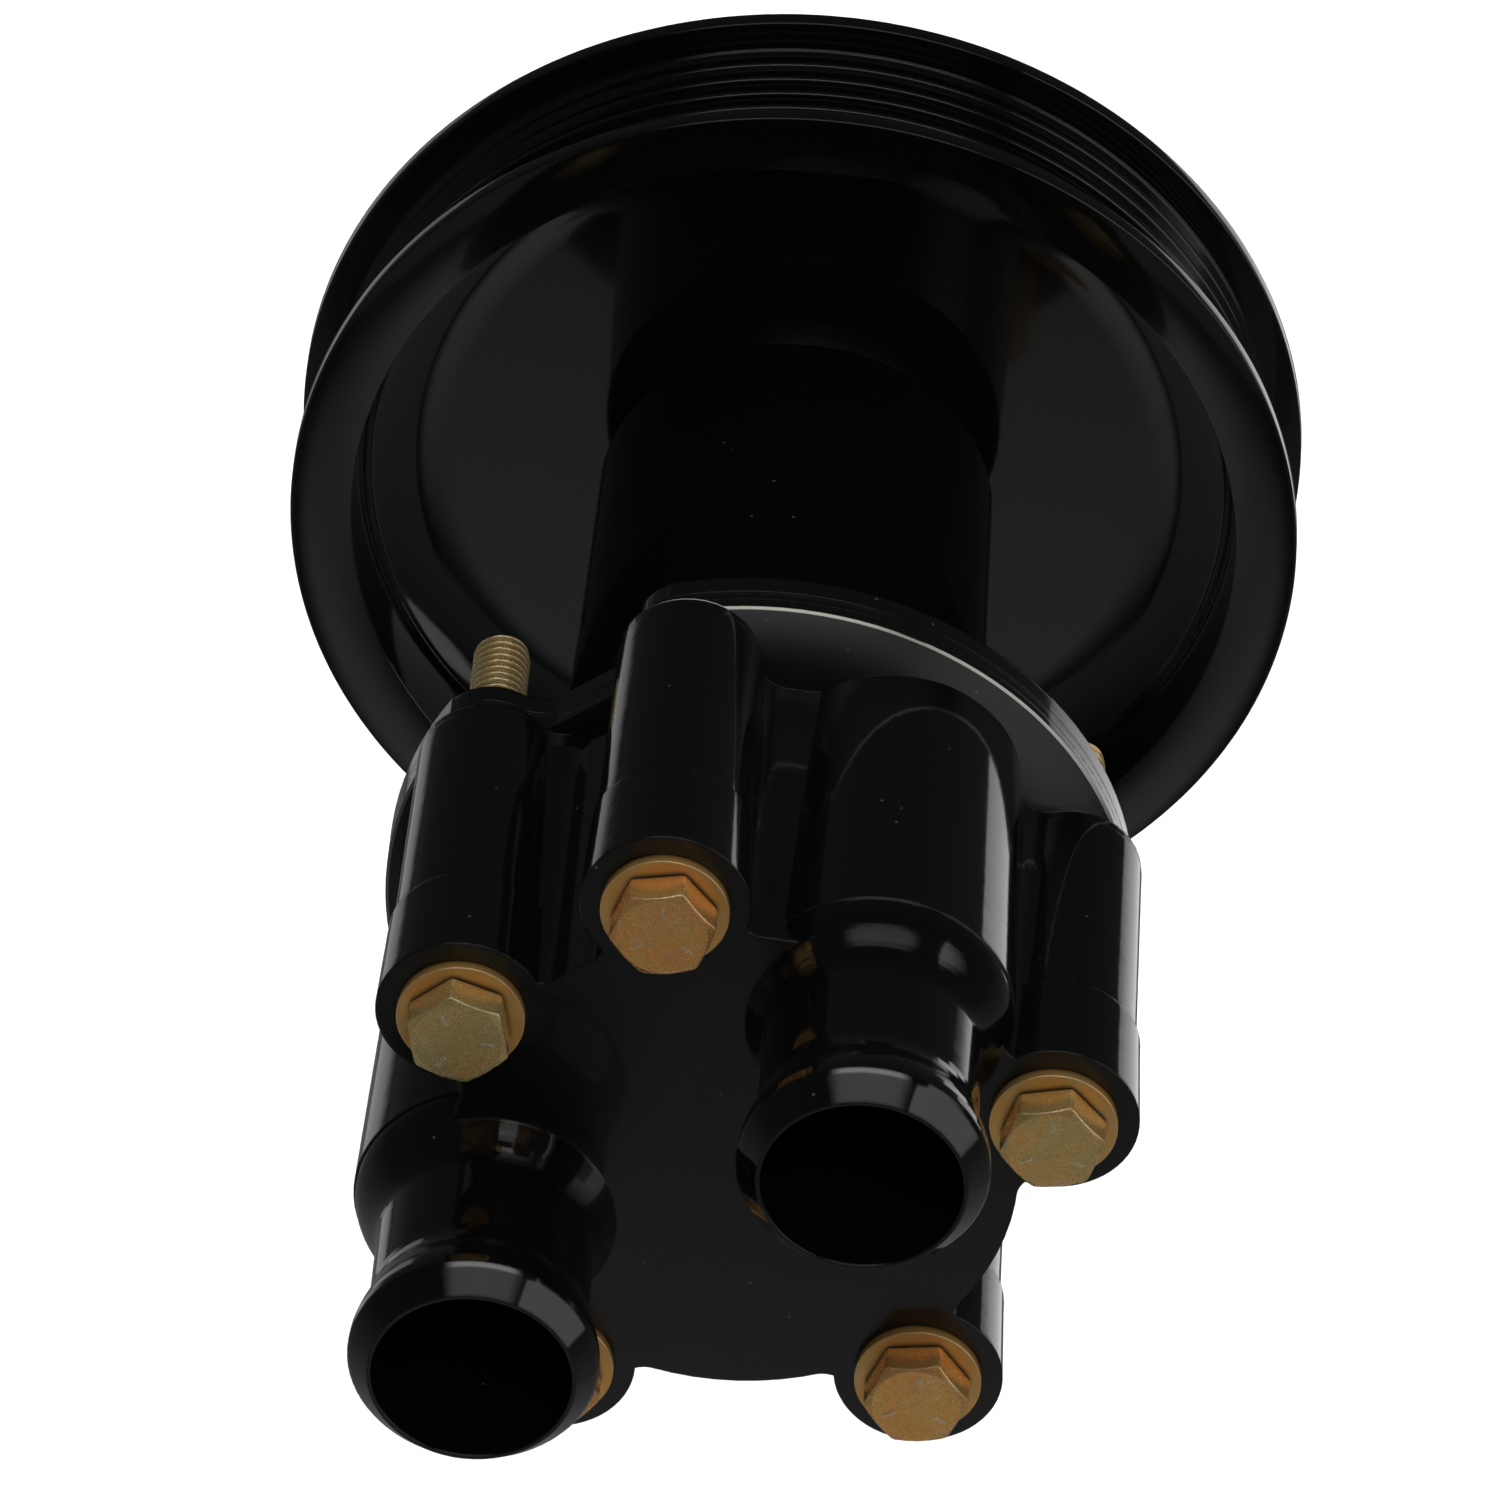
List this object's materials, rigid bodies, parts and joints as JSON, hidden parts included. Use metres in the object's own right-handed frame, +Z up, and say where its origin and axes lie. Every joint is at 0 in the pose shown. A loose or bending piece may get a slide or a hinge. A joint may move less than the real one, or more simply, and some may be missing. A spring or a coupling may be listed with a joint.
{
  "type": "belt-driven flexible-impeller water pump",
  "caption": "Engine-driven raw-water pump: grooved belt pulley, long bearing barrel, and a round ported body with two parallel hose spigots and long through bolts.",
  "frame": {"origin": "on the shaft axis, in the middle of the set of belt grooves", "axes": "+Y along the shaft towards the pulley's front (screw head) side, +X to the right and +Z up when looking from the hose spigots towards the pulley"},
  "size_m": [0.144, 0.2048, 0.144],
  "materials": {
    "black_paint": "gloss",
    "yellow_zinc": "satin",
    "plain_zinc": "satin",
    "stainless_steel": "satin",
    "bearing_steel": "polished",
    "dark_spring_steel": "satin",
    "bronze": "satin",
    "black_rubber": "matte",
    "gasket_sheet": "matte",
    "seal_ceramic": "polished",
    "seal_carbon": "satin"
  },
  "bodies": {
    "pump_frame": {"pump_body": "black_paint", "cam": "bronze", "end_wear_plate": "stainless_steel", "body_seal_ring": "black_rubber", "wear_plate": "stainless_steel", "flange_gasket": "gasket_sheet", "bearing_housing": "black_paint", "front_outer_race": "bearing_steel", "rear_outer_race": "bearing_steel", "front_bearing_shields": "dark_spring_steel", "rear_bearing_shields": "dark_spring_steel", "bearing_retaining_ring": "dark_spring_steel", "grease_seal": "black_rubber", "seal_seat": "seal_ceramic", "seal_seat_cup": "black_rubber", "body_bolt_1": "yellow_zinc", "body_bolt_2": "yellow_zinc", "body_bolt_3": "yellow_zinc", "body_bolt_4": "yellow_zinc", "body_bolt_5": "yellow_zinc", "body_washer_1": "yellow_zinc", "body_washer_2": "yellow_zinc", "body_washer_3": "yellow_zinc", "body_washer_4": "yellow_zinc", "body_washer_5": "yellow_zinc"},
    "rotor": {"shaft": "stainless_steel", "impeller": "black_rubber", "impeller_hub": "bronze", "impeller_key": "stainless_steel", "front_inner_race": "bearing_steel", "rear_inner_race": "bearing_steel", "bearing_spacer": "bearing_steel", "slinger": "black_rubber", "seal_carbon": "seal_carbon", "seal_bellows": "black_rubber", "seal_spring": "bearing_steel", "pulley_hub": "stainless_steel", "pulley": "black_paint", "pulley_screw_1": "plain_zinc", "pulley_screw_2": "plain_zinc", "pulley_screw_3": "plain_zinc", "pulley_screw_4": "plain_zinc", "pulley_lock_washer_1": "plain_zinc", "pulley_lock_washer_2": "plain_zinc", "pulley_lock_washer_3": "plain_zinc", "pulley_lock_washer_4": "plain_zinc"},
    "front_ball_set": {"front_balls": "bearing_steel", "front_cage": "bronze"},
    "rear_ball_set": {"rear_balls": "bearing_steel", "rear_cage": "bronze"}
  },
  "joints": [
    {"name": "rotor_spin", "type": "hinge", "parent": "pump_frame", "child": "rotor", "pos_m": [0, 0, 0], "axis": [0, 1, 0], "continuous": true},
    {"name": "front_balls_spin", "type": "hinge", "parent": "pump_frame", "child": "front_ball_set", "pos_m": [0, -0.017, 0], "axis": [0, 1, 0], "continuous": true},
    {"name": "rear_balls_spin", "type": "hinge", "parent": "pump_frame", "child": "rear_ball_set", "pos_m": [0, -0.063, 0], "axis": [0, 1, 0], "continuous": true}
  ],
  "couplings": [
    {"joint": "front_balls_spin", "follows": "rotor_spin", "ratio": 0.3815},
    {"joint": "rear_balls_spin", "follows": "rotor_spin", "ratio": 0.3815}
  ]
}
